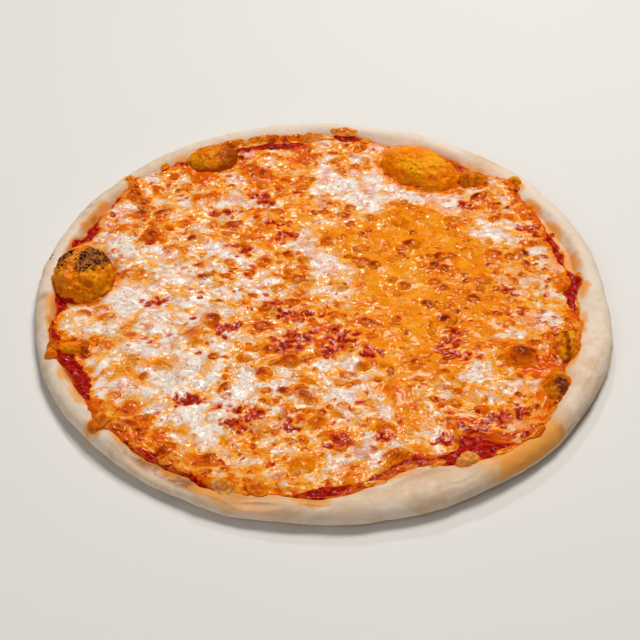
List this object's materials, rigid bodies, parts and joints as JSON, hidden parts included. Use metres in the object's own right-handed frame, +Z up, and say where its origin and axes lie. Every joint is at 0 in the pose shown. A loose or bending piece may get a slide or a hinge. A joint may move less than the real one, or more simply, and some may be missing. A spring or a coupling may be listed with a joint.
{
  "type": "cheese and tomato pizza",
  "caption": "Whole round baked pizza, uncut: a thin dough base with a raised pale rim and baked bubbles, tomato sauce, and browned melted cheese on top.",
  "frame": {"origin": "middle of the outline, on the flat underside that the pizza lies on", "axes": "+Z up, out of the cheese; -Y is the near side in the picture and +X its right-hand side"},
  "size_m": [0.3082, 0.3098, 0.024],
  "materials": {
    "dough": "dry baked dough, pale and floury, golden where it browned",
    "tomato_sauce": "moist and lumpy, deep red",
    "melted_cheese": "melted, oily, cream to orange with brown blisters"
  },
  "bodies": {
    "root": {"crust": "dough", "tomato_sauce": "tomato_sauce", "melted_cheese": "melted_cheese"}
  },
  "joints": []
}
